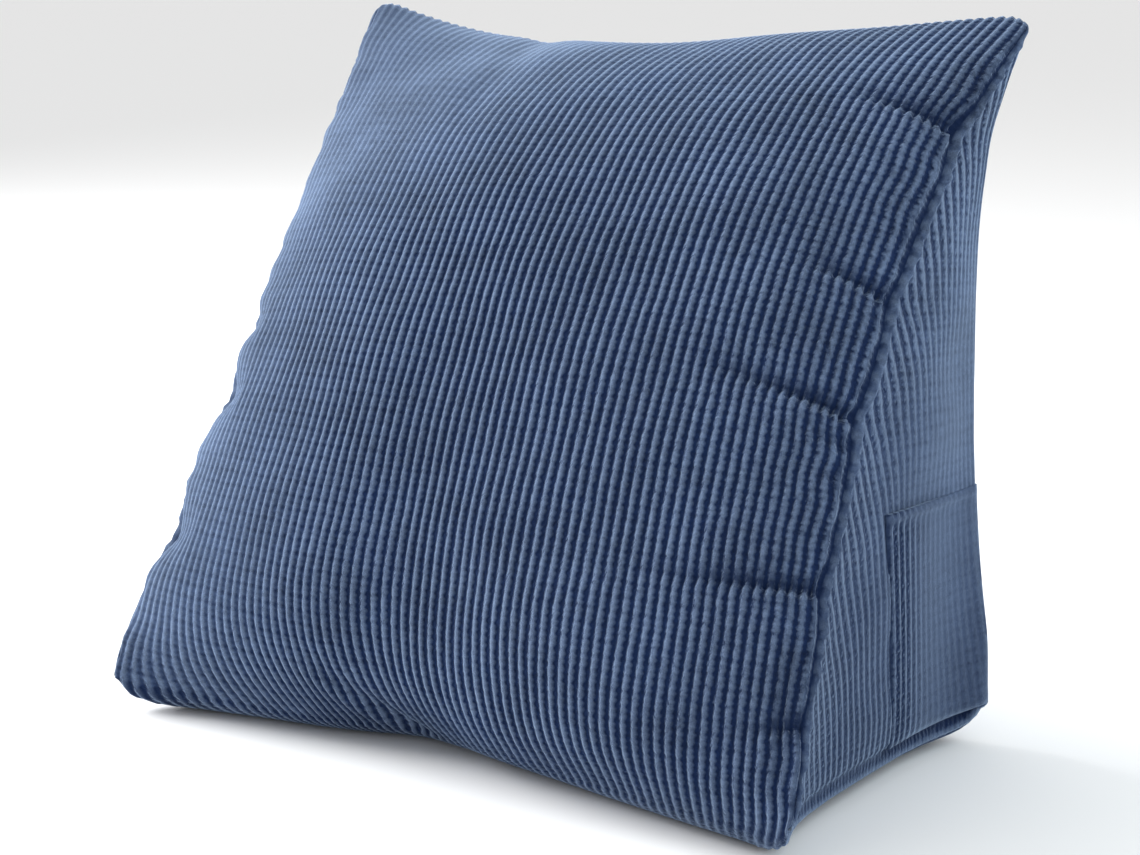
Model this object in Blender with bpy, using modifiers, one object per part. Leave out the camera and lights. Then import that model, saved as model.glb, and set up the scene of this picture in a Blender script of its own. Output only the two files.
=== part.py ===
"""A stuffed wedge pillow with a slanted front, and a flat pocket sewn on its right side.

Metres, +Z up. The front faces -Y, the upright back faces +Y, and the base rests on z = 0.
The bag is first a flat-sided wedge, cut along its ribs, and the filling then moves every point:
the seams are drawn in between the corners, the panels crown, and folds run in from the seams.
"""

from collections import namedtuple
from math import atan2, cos, exp, pi, sin, sqrt

import bmesh
import bpy
from mathutils import Vector

# Driving dimensions. The ribs of the cloth set the step that the panels are cut to.
RIB_PITCH = 0.00625
STEP = RIB_PITCH / 2
WIDTH = 72 * RIB_PITCH
DEPTH = 38 * RIB_PITCH
TOP_SETBACK = 42 * RIB_PITCH
HEIGHT = 0.407
FRONT_LIFT = 0.026
BACK_LIFT = 0.032
RIB_RELIEF = 0.0008
RELIEF_FADE = 0.006

# The corners of the triangular section: (y, z) before the filling draws the seams in.
CORNERS = {
    "front": (-DEPTH / 2, FRONT_LIFT),
    "back": (DEPTH / 2, BACK_LIFT),
    "top": (TOP_SETBACK - DEPTH / 2, HEIGHT),
}

# How far the filling draws each seam at its middle. A blunt seam is drawn in near its corners too,
# and a skewed one is drawn more towards its end (the right end, or the upper one).
Seam = namedtuple("Seam", "inward back up blunt skew")
CROSS_SEAMS = {
    "front": Seam(inward=0, back=0.040, up=0.009, blunt=1.15, skew=-0.33),
    "back": Seam(inward=0, back=-0.020, up=0, blunt=2.5, skew=0),
    "top": Seam(inward=0, back=0.0066, up=-0.0254, blunt=1.8, skew=-0.65),
}
SIDE_SEAMS = {
    ("front", "top"): Seam(inward=0.0200, back=-0.0148, up=0.0095, blunt=2.1, skew=0.24),
    ("back", "top"): Seam(inward=0.0200, back=-0.0120, up=0, blunt=3.5, skew=0.28),
    ("front", "back"): Seam(inward=0.0184, back=0, up=-0.0064, blunt=2.5, skew=0),
}

# A seam's own curve fades up the panel by this power of the distance left to the next seam.
SEAM_HOLD = 2.5

# The pinch in the seam under the front: where it is across the front, its reach and its depth.
PINCH_AT, PINCH_REACH, PINCH_DEPTH = -0.19, 0.16, 0.0105

# The crowns. The front one leans up and turns from forwards at its foot to upwards at its top.
FRONT_CROWN, FRONT_ACROSS, FRONT_ALONG, FRONT_LEAN, FRONT_TURN = 0.0467, 0.564, 0.748, 0.434, 0.864
BACK_CROWN, BACK_POWER = 0.027, 0.7
SIDE_CROWN, SIDE_POWER = 0.0108, 0.68
BASE_RIM = 6 * STEP

# Folds that run in from the front's side seams. Each starts at a seam (side 1 is the right), at a
# height counted in steps of the front's 84, and runs for reach metres. It is half_width by depth,
# and it nips the seam itself inwards.
FRONT_STEPS = 84
FRONT_LENGTH = sqrt(TOP_SETBACK ** 2 + HEIGHT ** 2)
Fold = namedtuple("Fold", "side height reach half_width depth nip")
FOLDS = (
    Fold(side=1, height=69, reach=0.045, half_width=0.012, depth=0.0060, nip=0.004),
    Fold(side=1, height=50, reach=0.045, half_width=0.011, depth=0.0035, nip=0.002),
    Fold(side=1, height=39, reach=0.075, half_width=0.011, depth=0.0055, nip=0.003),
    Fold(side=1, height=21, reach=0.075, half_width=0.011, depth=0.0050, nip=0.002),
    Fold(side=1, height=9, reach=0.035, half_width=0.010, depth=0.0030, nip=0.001),
    Fold(side=-1, height=40, reach=0.030, half_width=0.010, depth=0.0030, nip=0.003),
    Fold(side=-1, height=32, reach=0.040, half_width=0.013, depth=0.0050, nip=0.005),
    Fold(side=-1, height=17, reach=0.040, half_width=0.014, depth=0.0040, nip=0.006),
)
FOLD_ROWS = (-4, -2, 0, 2, 4)
FOLD_ZONE = WIDTH / 2 - 0.085
NIP_FADE = 0.020

# Where the panels are cut across their ribs. Front and sides: in steps of 84. Back: in shares of
# its height. Base: in steps from the front, and again near its side seams only.
FRONT_ROWS = (1, 4, 9, 16, 26, 38, 50, 62, 72, 79, 83)
BACK_ROWS = (0.07, 0.3, 0.7, 0.93)
BASE_ROWS = (0.4, 1.5, 3.5, 6, 38, 70, 72.5, 74.5, 75.6)
BASE_SIDE_ROWS = (14, 26, 50, 62)
SIDE_ROWS = (1.5, 4, 9, 18, 27, 40, 54, 68)

# The pocket, in the same steps on the flat side panel, and its cloth.
POCKET_FROM = 44 * STEP - DEPTH / 2
POCKET_ROWS = (1, 2, 4, 6, 9, 13, 18, 22, 27)
POCKET_SEAM_MARGIN = 0.003
POCKET_CLOTH = 0.0016
POCKET_GAP = 0.0008

CLOTH_COLOUR = (0.072, 0.110, 0.195, 1.0)


def corner(name, side):
    y, z = CORNERS[name]
    return Vector((side * WIDTH / 2, y, z))


def drawn_in(seam, start, end, along, side):
    """A point on a seam, straight from corner to corner and then drawn in by the filling."""
    t = 2 * along - 1
    pull = (1 - abs(t) ** seam.blunt) * (1 + seam.skew * t)
    return start.lerp(end, along) + Vector((-side * seam.inward, seam.back, seam.up)) * pull


def cross_seam(name, u):
    """The seam across the width at one corner of the section; u runs from -1 to 1."""
    point = drawn_in(CROSS_SEAMS[name], corner(name, -1), corner(name, 1), (u + 1) / 2, 0)
    if name == "front":
        point.y += PINCH_DEPTH * exp(-(((u - PINCH_AT) / PINCH_REACH) ** 2)) * (1 - u * u)
    return point


def side_seam(low, high, side, v):
    return drawn_in(SIDE_SEAMS[low, high], corner(low, side), corner(high, side), v, side)


def between_seams(low, high, u, v, hold=1):
    """A point on the sheet that four seams span, before it crowns."""
    across = (u + 1) / 2
    low_pull = cross_seam(low, u) - corner(low, -1).lerp(corner(low, 1), across)
    high_pull = cross_seam(high, u) - corner(high, -1).lerp(corner(high, 1), across)
    run = side_seam(low, high, -1, v).lerp(side_seam(low, high, 1, v), across)
    return run + low_pull * max(0, 1 - v) ** hold + high_pull * max(0, v) ** hold


def nip(side, height, from_seam):
    """How far the folds draw the cloth inwards near a front side seam."""
    drawn = 0
    for fold in FOLDS:
        if fold.side == side:
            away = (height - fold.height / FRONT_STEPS) * FRONT_LENGTH / fold.half_width
            drawn += fold.nip * exp(-(away ** 2))
    return drawn * exp(-max(0, from_seam) / NIP_FADE)


def front_point(u, v):
    rise = FRONT_CROWN * max(0, 1 - u * u) ** FRONT_ACROSS * max(0, 4 * v * (1 - v)) ** FRONT_ALONG
    turn = atan2(TOP_SETBACK, HEIGHT) + (v - 0.5) * FRONT_TURN
    out = Vector((0, -cos(turn), sin(turn)))
    sheet = between_seams("front", "top", u, v, SEAM_HOLD)
    side = 1 if u > 0 else -1
    sheet.x -= side * nip(side, v, (1 - abs(u)) * WIDTH / 2)
    return sheet + out * rise * (1 + FRONT_LEAN * (2 * v - 1))


def back_point(u, v):
    rise = BACK_CROWN * (max(0, 1 - u * u) * max(0, 4 * v * (1 - v))) ** BACK_POWER
    return between_seams("back", "top", u, v, SEAM_HOLD) + Vector((0, rise, 0))


def base_point(u, v):
    """The base rolls down from its seams within a rim and is flat inside it."""
    point = between_seams("front", "back", u, v)
    across = max(0, 1 - (1 - abs(u)) * WIDTH / 2 / BASE_RIM)
    along = max(0, 1 - (0.5 - abs(v - 0.5)) * DEPTH / BASE_RIM)
    roll = min(1, (across ** 4 + along ** 4) ** 0.25)
    point.z *= 1 - sqrt(1 - roll ** 2)
    return point


def side_point(side, y, height):
    """A point on a triangular side; height is a share of the full height."""
    share_top = height
    share_back = (y + DEPTH / 2 - TOP_SETBACK * height) / DEPTH
    share_front = 1 - share_top - share_back
    foot = share_front + share_back
    back = min(1, max(0, share_back / foot)) if foot > 1e-6 else 0.5
    corners = {name: corner(name, side) for name in CORNERS}
    flat = corners["front"] * share_front + corners["back"] * share_back + corners["top"] * share_top
    front_pull = side_seam("front", "top", side, height) - corners["front"].lerp(corners["top"], height)
    back_pull = side_seam("back", "top", side, height) - corners["back"].lerp(corners["top"], height)
    base_pull = side_seam("front", "back", side, back) - corners["front"].lerp(corners["back"], back)
    pull = front_pull.lerp(back_pull, back) + base_pull * (1 - height) ** 2
    rise = SIDE_CROWN * max(0, 27 * share_top * share_back * share_front) ** SIDE_POWER
    rise -= nip(side, height, share_back * DEPTH)
    return flat + pull + Vector((side * rise, 0, 0))


POINT_ON = {"front": front_point, "back": back_point, "base": base_point}


def outward(point_at, a, b, hint):
    """The unit normal of a panel, on the side that hint points to."""
    small = 1e-4
    run = point_at(a + small, b) - point_at(a - small, b)
    rise = point_at(a, b + small) - point_at(a, b - small)
    normal = run.cross(rise).normalized()
    return -normal if normal.dot(hint) < 0 else normal


def ribs(across, from_seam):
    """The ribs' relief, which fades to nothing at the seams."""
    fade = min(1, max(0, from_seam / RELIEF_FADE))
    return -RIB_RELIEF * cos(2 * pi * across / RIB_PITCH) * fade


def folds(x, v):
    """How deep the folds lie below the front's crown at one point."""
    depth = 0
    for fold in FOLDS:
        inwards = WIDTH / 2 - fold.side * x
        across = (v - fold.height / FRONT_STEPS) * FRONT_LENGTH
        if inwards < fold.reach:
            taper = cos(pi / 2 * inwards / fold.reach) ** 0.7
            depth += fold.depth * taper * exp(-((across / fold.half_width) ** 2) * 2)
    return depth


def stuffed_belt_point(panel, x, v):
    """Where a point of the flat front, back or base goes once the bag is filled."""
    u = 2 * x / WIDTH
    point_at = POINT_ON[panel]
    point = point_at(u, v)
    if panel == "base":
        return point
    hint = Vector((0, -1, 0.5)) if panel == "front" else Vector((0, 1, 0))
    from_seam = min(WIDTH / 2 - abs(x), min(v, 1 - v) * HEIGHT)
    if from_seam < 1e-5:
        return point
    relief = ribs(x + WIDTH / 2, from_seam)
    if panel == "front":
        relief -= folds(x, v) * min(1, from_seam / RELIEF_FADE)
    return point + outward(point_at, u, v, hint) * relief


def distance_to_side_seams(y, height):
    front = (y + DEPTH / 2) * HEIGHT - TOP_SETBACK * height * HEIGHT
    front /= FRONT_LENGTH
    back = DEPTH / 2 + (TOP_SETBACK - DEPTH) * height - y
    return min(front, back, height * HEIGHT)


def stuffed_side_point(side, y, height, lift=0):
    """Where a point of a flat side goes, raised by lift for cloth that lies on it."""
    from_seam = distance_to_side_seams(y, height)
    point = side_point(side, y, height)
    if from_seam < 1e-5:
        return point
    normal = outward(lambda a, b: side_point(side, a, b), y, height, Vector((side, 0, 0)))
    return point + normal * (ribs(y + DEPTH / 2, from_seam) + lift)


def panel_of(face):
    """The panel of a face of the flat wedge, from the way that it faces."""
    normal = face.normal
    if abs(normal.x) > 0.9:
        return "side"
    if normal.z < -0.9:
        return "base"
    return "back" if normal.y > 0 else "front"


def cut(wedge, panel, point, normal, beyond=None, side=1):
    """Cuts one panel of the wedge along a plane, or only its faces outside beyond on one side."""
    faces = [f for f in wedge.faces if panel is None or panel_of(f) == panel]
    if beyond is not None:
        faces = [f for f in faces if side * f.calc_center_median().x > beyond]
    edges = {e for f in faces for e in f.edges}
    verts = {v for f in faces for v in f.verts}
    bmesh.ops.bisect_plane(
        wedge, geom=[*faces, *edges, *verts], dist=1e-6, plane_co=point, plane_no=normal
    )


def flat_wedge():
    """The wedge with flat sides, a triangle swept across the width. Its foot is at z = 0."""
    wedge = bmesh.new()
    section = ((-DEPTH / 2, 0), (DEPTH / 2, 0), (TOP_SETBACK - DEPTH / 2, HEIGHT))
    triangle = wedge.faces.new([wedge.verts.new((-WIDTH / 2, y, z)) for y, z in section])
    swept = bmesh.ops.extrude_face_region(wedge, geom=[triangle], use_keep_orig=True)
    far_end = [item for item in swept["geom"] if isinstance(item, bmesh.types.BMVert)]
    bmesh.ops.translate(wedge, verts=far_end, vec=(WIDTH, 0, 0))
    bmesh.ops.recalc_face_normals(wedge, faces=wedge.faces)
    return wedge


def cut_belt(wedge):
    """Two columns a rib round the front, back and base, and rows across them."""
    slope = Vector((0, TOP_SETBACK, HEIGHT))
    foot = Vector((0, -DEPTH / 2, 0))
    back_slope = Vector((0, TOP_SETBACK - DEPTH, HEIGHT))
    back_foot = Vector((0, DEPTH / 2, 0))
    for row in FRONT_ROWS:
        cut(wedge, "front", foot + slope * row / FRONT_STEPS, slope)
    for share in BACK_ROWS:
        cut(wedge, "back", back_foot + back_slope * share, (0, 0, 1))
    for row in BASE_ROWS:
        cut(wedge, "base", foot + Vector((0, row * STEP, 0)), (0, 1, 0))
    for column in range(1, round(WIDTH / STEP)):
        cut(wedge, None, (column * STEP - WIDTH / 2, 0, 0), (1, 0, 0))
    for row in BASE_SIDE_ROWS:
        for side in (-1, 1):
            point = foot + Vector((0, row * STEP, 0))
            cut(wedge, "base", point, (0, 1, 0), beyond=WIDTH / 2 - 2 * BASE_RIM, side=side)
    for fold in FOLDS:
        for row in FOLD_ROWS:
            height = fold.height + row / 2
            if not any(abs(height - other) < 0.75 for other in FRONT_ROWS):
                point = foot + slope * height / FRONT_STEPS
                cut(wedge, "front", point, slope, beyond=FOLD_ZONE, side=fold.side)


def cut_sides(wedge):
    """Two columns a rib on the triangular sides, whose ribs stand upright, and rows."""
    for column in range(1, round(TOP_SETBACK / STEP)):
        cut(wedge, "side", (0, column * STEP - DEPTH / 2, 0), (0, 1, 0))
    for row in SIDE_ROWS:
        cut(wedge, "side", (0, 0, HEIGHT * row / FRONT_STEPS), (0, 0, 1))


def fill(wedge):
    """Moves every point of the flat wedge to its place on the filled bag."""
    places = {}
    for vertex in wedge.verts:
        x, y, z = vertex.co
        kinds = {panel_of(face) for face in vertex.link_faces}
        if kinds == {"side"}:
            places[vertex] = stuffed_side_point(1 if x > 0 else -1, y, z / HEIGHT)
        elif "front" in kinds:
            places[vertex] = stuffed_belt_point("front", x, z / HEIGHT)
        elif "back" in kinds:
            places[vertex] = stuffed_belt_point("back", x, z / HEIGHT)
        else:
            places[vertex] = stuffed_belt_point("base", x, (y + DEPTH / 2) / DEPTH)
    for vertex, place in places.items():
        vertex.co = place


def cloth(name):
    material = bpy.data.materials.new(name)
    material.use_nodes = True
    shader = material.node_tree.nodes["Principled BSDF"]
    shader.inputs["Base Color"].default_value = CLOTH_COLOUR
    shader.inputs["Roughness"].default_value = 0.9
    shader.inputs["Metallic"].default_value = 0.0
    return material


def add_object(name, form, collection):
    mesh = bpy.data.meshes.new(name)
    form.to_mesh(mesh)
    form.free()
    mesh.materials.append(cloth(name))
    piece = bpy.data.objects.new(name, mesh)
    collection.objects.link(piece)
    return piece


def make_cushion(collection):
    wedge = flat_wedge()
    cut_belt(wedge)
    cut_sides(wedge)
    bmesh.ops.triangulate(wedge, faces=wedge.faces)
    wedge.normal_update()
    fill(wedge)
    return add_object("cushion", wedge, collection)


def make_pocket(collection):
    """A patch on the lower back of the right side, caught in the back and base seams."""
    columns = round((TOP_SETBACK - DEPTH / 2 - POCKET_FROM) / STEP)
    patch = bmesh.new()
    bmesh.ops.create_grid(patch, x_segments=columns, y_segments=len(POCKET_ROWS) - 1, size=0.5)
    rows = len(POCKET_ROWS) - 1
    for vertex in patch.verts:
        row = POCKET_ROWS[round((vertex.co.y + 0.5) * rows)]
        y = POCKET_FROM + (vertex.co.x + 0.5) * columns * STEP
        vertex.co = Vector((0, y, HEIGHT * row / FRONT_STEPS))
    lean = Vector((0, HEIGHT, DEPTH - TOP_SETBACK)).normalized()
    back_edge = Vector((0, DEPTH / 2, 0)) - lean * POCKET_SEAM_MARGIN
    everything = [*patch.faces, *patch.edges, *patch.verts]
    bmesh.ops.bisect_plane(
        patch, geom=everything, dist=1e-6, plane_co=back_edge, plane_no=lean, clear_outer=True
    )
    for vertex in patch.verts:
        _, y, z = vertex.co
        vertex.co = stuffed_side_point(1, y, z / HEIGHT, lift=POCKET_GAP)
    bmesh.ops.recalc_face_normals(patch, faces=patch.faces)
    if sum(face.normal.x for face in patch.faces) < 0:
        bmesh.ops.reverse_faces(patch, faces=patch.faces)
    pocket = add_object("side_pocket", patch, collection)
    wall = pocket.modifiers.new("cloth", "SOLIDIFY")
    wall.thickness = POCKET_CLOTH
    wall.offset = 1
    wall.use_even_offset = True
    return pocket


for old in list(bpy.data.objects):
    bpy.data.objects.remove(old)

pillow = bpy.data.collections.new("wedge_pillow")
bpy.context.scene.collection.children.link(pillow)
make_cushion(pillow)
make_pocket(pillow)
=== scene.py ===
import bmesh
import bpy
import numpy as np
from mathutils import Matrix, Vector


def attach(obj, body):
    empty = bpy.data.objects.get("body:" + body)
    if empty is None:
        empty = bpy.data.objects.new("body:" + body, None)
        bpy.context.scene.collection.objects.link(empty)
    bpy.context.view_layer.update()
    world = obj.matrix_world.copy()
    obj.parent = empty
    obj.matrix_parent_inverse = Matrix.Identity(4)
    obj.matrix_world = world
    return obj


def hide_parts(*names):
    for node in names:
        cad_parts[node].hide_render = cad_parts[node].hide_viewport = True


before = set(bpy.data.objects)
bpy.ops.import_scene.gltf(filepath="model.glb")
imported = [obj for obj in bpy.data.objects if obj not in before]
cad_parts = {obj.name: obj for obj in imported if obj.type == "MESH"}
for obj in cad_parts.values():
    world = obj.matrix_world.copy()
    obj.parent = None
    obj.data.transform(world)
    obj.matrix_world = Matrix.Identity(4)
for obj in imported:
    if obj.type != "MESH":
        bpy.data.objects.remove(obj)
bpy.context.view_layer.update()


# The cord fabric: a soft velvety weave with wide ribs, each rib a string of short kernels that
# line up from rib to rib. Every panel is cut from it. A cloth map counts ribs across and kernels
# along each panel, so the weave follows the cloth however the filling bends it.
RIB_PITCH = 0.00625
KERNEL_PITCH = 0.00768


class Value:
    """A shader socket that takes Python's operators."""

    def __init__(self, weave, socket):
        self.weave = weave
        self.socket = socket

    def maths(self, operation, *values):
        return self.weave.node("ShaderNodeMath", {"operation": operation}, *values)

    def __add__(self, other):
        return self.maths("ADD", self, other)

    def __sub__(self, other):
        return self.maths("SUBTRACT", self, other)

    def __rsub__(self, other):
        return self.maths("SUBTRACT", other, self)

    def __mul__(self, other):
        return self.maths("MULTIPLY", self, other)

    def __pow__(self, other):
        return self.maths("POWER", self, other)

    def __abs__(self):
        return self.maths("ABSOLUTE", self)

    __radd__ = __add__
    __rmul__ = __mul__


class Weave:
    """A material, or the studio's world, under construction."""

    def __init__(self, block, shader="Principled BSDF"):
        block.use_nodes = True
        self.block = block
        self.tree = block.node_tree
        self.shader = self.tree.nodes[shader]

    def feed(self, socket, value):
        if isinstance(value, Value):
            self.tree.links.new(value.socket, socket)
        else:
            socket.default_value = value

    def node(self, kind, settings=None, *values, output=0, sockets=None, stops=()):
        made = self.tree.nodes.new(kind)
        for setting, value in (settings or {}).items():
            setattr(made, setting, value)
        for _ in stops[2:]:
            made.color_ramp.elements.new(1.0)
        for element, (place, shade) in zip(made.color_ramp.elements if stops else (), stops):
            element.position = place
            element.color = shade
        for socket, value in (sockets or dict(enumerate(values))).items():
            self.feed(made.inputs[socket], value)
        return Value(self, made.outputs[output])

    def noise(self, place, scale, detail):
        return self.node(
            "ShaderNodeTexNoise", None, sockets={"Vector": place, "Scale": scale, "Detail": detail}
        )

    def mix(self, blend, factor, low, high):
        kind = {"data_type": "RGBA", "blend_type": blend}
        return self.node("ShaderNodeMix", kind, output=2, sockets={0: factor, 6: low, 7: high})

    def finish(self, **sockets):
        for name, value in sockets.items():
            self.feed(self.shader.inputs[name.replace("_", " ")], value)
        return self.block


# The dye at three heights of the rib, darker into the grooves partly as painted shade, and the
# painted shade of a seam or a fold. The pile catches a cool light along its edge.
CREST = (0.103, 0.145, 0.232, 1)
FLANK = (0.047, 0.074, 0.143, 1)
GROOVE = (0.005, 0.015, 0.055, 1)
SEAM_DARK = (0.003, 0.012, 0.048, 1)
PILE_EDGE = (0.50, 0.66, 0.92, 1)
# The scales of the weave's unevenness: how the ribs wander, tufts, single fibres, and worn areas.
WANDER_SCALE, FLUFF_SCALE, FIBRE_SCALE, NAP_SCALE = 70.0, 360.0, 1500.0, 26.0
# How narrow the valleys and the kernels' joins look, and how far the ribs show where they lie flat.
VALLEY_SHARPNESS = 2.7
JOIN_SHARPNESS, HALF_JOIN_SHARPNESS = 6.0, 8.0
FLAT_TONE, FLAT_RELIEF = 0.14, 0.05
SHADE_STRENGTH = 0.90
RELIEF_STRENGTH, RELIEF_DEPTH = 0.9, 0.0012


def cord_fabric(name):
    """Dark between the ribs and at the kernels' joins, partly as painted shade, with mottled pile on
    the crests.
    """
    weave = Weave(bpy.data.materials.new(name))
    place = weave.node("ShaderNodeTexCoord", output=3)
    cloth_map = weave.node("ShaderNodeUVMap", {"uv_map": "cloth"})
    across = weave.node("ShaderNodeSeparateXYZ", None, cloth_map)
    along = weave.node("ShaderNodeSeparateXYZ", None, cloth_map, output=1)
    ribbed = weave.node("ShaderNodeAttribute", {"attribute_name": "ribbed"}, output=2)
    shade = weave.node("ShaderNodeAttribute", {"attribute_name": "shade"}, output=2)
    wander = weave.noise(place, WANDER_SCALE, 2.0) - 0.5
    fluff = weave.noise(place, FLUFF_SCALE, 3.0) - 0.5
    fibre = weave.noise(place, FIBRE_SCALE, 2.0) - 0.5
    nap = weave.noise(place, NAP_SCALE, 4.0) - 0.5
    rib_turn = (across + wander * 0.28 + fluff * 0.42) * np.pi
    kernel_turn = (along + wander * 0.30 + fluff * 0.30) * np.pi
    valley = abs(rib_turn.maths("COSINE", rib_turn))
    join = abs(kernel_turn.maths("COSINE", kernel_turn))
    half_join = abs(kernel_turn.maths("SINE", kernel_turn))
    crest = 1 - valley ** VALLEY_SHARPNESS
    beads = join ** JOIN_SHARPNESS + half_join ** HALF_JOIN_SHARPNESS * 0.55
    height = crest - beads * (0.17 + (1 - crest) * crest * 1.3) + fluff * 0.60
    # The tone darkens into the grooves and joins, partly as painted shade, less where ribbed is low.
    tone = 1 - (1 - height) * (FLAT_TONE + ribbed * (1 - FLAT_TONE))
    body = weave.node("ShaderNodeValToRGB", None, tone, stops=(
        (0.14, GROOVE),
        (0.55, FLANK),
        (1.0, CREST),
    ))
    rungs = (1 - join) * (1 - half_join) * (1 - crest) * ribbed
    rows = join ** 3.0 * (1 - ribbed)
    light = 1.04 + nap * 1.0 + fluff * 0.9 + fibre * 1.1 + rungs * 1.6 - rows * 0.14
    grey = weave.node("ShaderNodeCombineXYZ", None, light, light, light)
    cloth = weave.mix("MULTIPLY", 1.0, body, grey)
    cloth = weave.mix("MIX", shade * SHADE_STRENGTH, cloth, SEAM_DARK)
    relief = height * (FLAT_RELIEF + ribbed ** 2.0 * (1 - FLAT_RELIEF)) + fibre * 0.26
    bump_map = {"Strength": RELIEF_STRENGTH, "Distance": RELIEF_DEPTH, "Height": relief}
    return weave.finish(
        Base_Color=cloth,
        Roughness=0.92,
        Specular_IOR_Level=0.12,
        Sheen_Weight=0.8,
        Sheen_Roughness=0.40,
        Sheen_Tint=PILE_EDGE,
        Normal=weave.node("ShaderNodeBump", None, sockets=bump_map),
    )


CORD = cord_fabric("blue_cord")


# The bag: a slanted front, an upright back, a base and two triangular sides, sewn edge to edge and
# stuffed tight with fibre. It is cut flat, with its points on the ribs and kernels, and sewn. Then
# the filling draws its seams in, crowns its panels and leaves folds where the cloth is nipped.
RIBS_WIDE, RIBS_DEEP, RIBS_BACK = 72, 38, 42
WIDTH = RIBS_WIDE * RIB_PITCH
DEPTH = RIBS_DEEP * RIB_PITCH
SETBACK = RIBS_BACK * RIB_PITCH
HEIGHT = 0.407
FRONT_LENGTH = float(np.hypot(SETBACK, HEIGHT))

# The right-hand corners, and how far the filling draws each seam at its middle. A blunt seam is
# drawn in near its corners too, and a skewed one is drawn more towards one end.
CORNERS = {
    "front": np.array((WIDTH / 2 + 0.0065, -DEPTH / 2 - 0.002, 0.0200)),
    "back": np.array((WIDTH / 2 + 0.005, DEPTH / 2 + 0.006, 0.0210)),
    "top": np.array((WIDTH / 2 + 0.003, SETBACK - DEPTH / 2, HEIGHT)),
}
CROSS_SEAMS = {
    "front": dict(pull=(0, 0.046, -0.0125), blunt=1.15, skew=-0.33),
    "back": dict(pull=(0, -0.020, 0), blunt=2.5, skew=0),
    "top": dict(pull=(0, 0.0066, -0.0254), blunt=1.8, skew=-0.65),
}
SIDE_SEAMS = {
    ("front", "top"): dict(pull=(0.0230, -0.0148, 0.0105), blunt=2.1, skew=0.28),
    ("back", "top"): dict(pull=(0.0205, -0.0140, 0), blunt=3.0, skew=0.34),
    ("front", "back"): dict(pull=(0.0224, 0, -0.0035), blunt=4.0, skew=0),
}
# A seam's own curve fades up its panel by this power of what is left of the way to the next seam.
SEAM_HOLD = 2.5
# The pinch in the seam under the front and the dip in the top seam: place, reach and depth.
PINCH_AT, PINCH_REACH, PINCH_DEPTH = -0.19, 0.16, 0.0105
DIP_AT, DIP_REACH, DIP_DEPTH = -0.42, 0.06, 0.0025


def bump(distance, width):
    """1 at no distance, and smoothly down to nothing past the width."""
    return np.exp(-((distance / width) ** 2))


def across_corners(name, u):
    x, y, z = CORNERS[name]
    return np.stack([u * x, np.full_like(u, y), np.full_like(u, z)], -1)


def pull_of(seam, along, side):
    """How far the filling draws a seam at a share of its length."""
    t = 2 * along - 1
    amount = (1 - np.abs(t) ** seam["blunt"]) * (1 + seam["skew"] * t)
    inward, back, up = seam["pull"]
    return amount[..., None] * np.stack([-side * inward, back + 0 * side, up + 0 * side], -1)


def cross_pull(name, u):
    pull = pull_of(CROSS_SEAMS[name], (u + 1) / 2, 0 * u)
    if name == "top":
        pull[..., 2] -= DIP_DEPTH * bump(u - DIP_AT, DIP_REACH)
    if name == "front":
        pinch = bump(u - PINCH_AT, PINCH_REACH) * (1 - u * u)
        pull[..., 1] += PINCH_DEPTH * pinch
    return pull


def side_seam(low, high, side, v):
    start, end = across_corners(low, side), across_corners(high, side)
    return start + (end - start) * v[..., None] + pull_of(SIDE_SEAMS[low, high], v, side)


def between_seams(low, high, u, v, hold):
    share = ((u + 1) / 2)[..., None]
    one = np.ones_like(u)
    run = side_seam(low, high, -one, v) * (1 - share) + side_seam(low, high, one, v) * share
    v = np.clip(v, 0, 1)[..., None]
    return run + cross_pull(low, u) * (1 - v) ** hold + cross_pull(high, u) * v ** hold


# Where the cloth is nipped at the front's side seams: the side (1 is the right), a share of the
# seam's length, and the dent's reach, half width and depth, and how far it draws the seam in.
DENTS = (
    (-1, 0.476, 0.030, 0.010, 0.0030, 0.0030),
    (-1, 0.381, 0.040, 0.012, 0.0050, 0.0050),
    (-1, 0.200, 0.040, 0.014, 0.0040, 0.0060),
    (1, 0.818, 0.050, 0.012, 0.0000, 0.0045),
    (1, 0.597, 0.050, 0.010, 0.0000, 0.0025),
    (1, 0.452, 0.050, 0.010, 0.0000, 0.0035),
    (1, 0.258, 0.050, 0.010, 0.0000, 0.0025),
    (1, 0.115, 0.050, 0.008, 0.0000, 0.0015),
)
NIP_SPREAD, NIP_FADE = 1.3, 0.020


def nip(side, rise, from_seam):
    drawn = np.zeros_like(rise)
    for end, share, _, half_width, _, depth in DENTS:
        near = bump((rise - share) * FRONT_LENGTH, half_width * NIP_SPREAD)
        drawn += np.where(side == end, depth * near, 0)
    return drawn * np.exp(-np.clip(from_seam, 0, None) / NIP_FADE)


# The crowns. The front one leans up and turns from forwards at its foot to upwards at its top, over
# a belly that sags a little way up.
FRONT_CROWN, FRONT_ACROSS, FRONT_ALONG, FRONT_LEAN, FRONT_TURN = 0.0467, 0.564, 0.748, 0.434, 0.864
BELLY, BELLY_AT, BELLY_ACROSS = 0.024, 0.10, 0.9
BACK_CROWN, BACK_POWER = 0.027, 0.7
SIDE_CROWN, SIDE_POWER = 0.0108, 0.68
# How far in from each seam the base still rolls up.
FRONT_RIM, BACK_RIM, SIDE_RIM, ROLL_POWER = 0.019, 0.045, 0.036, 4


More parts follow.
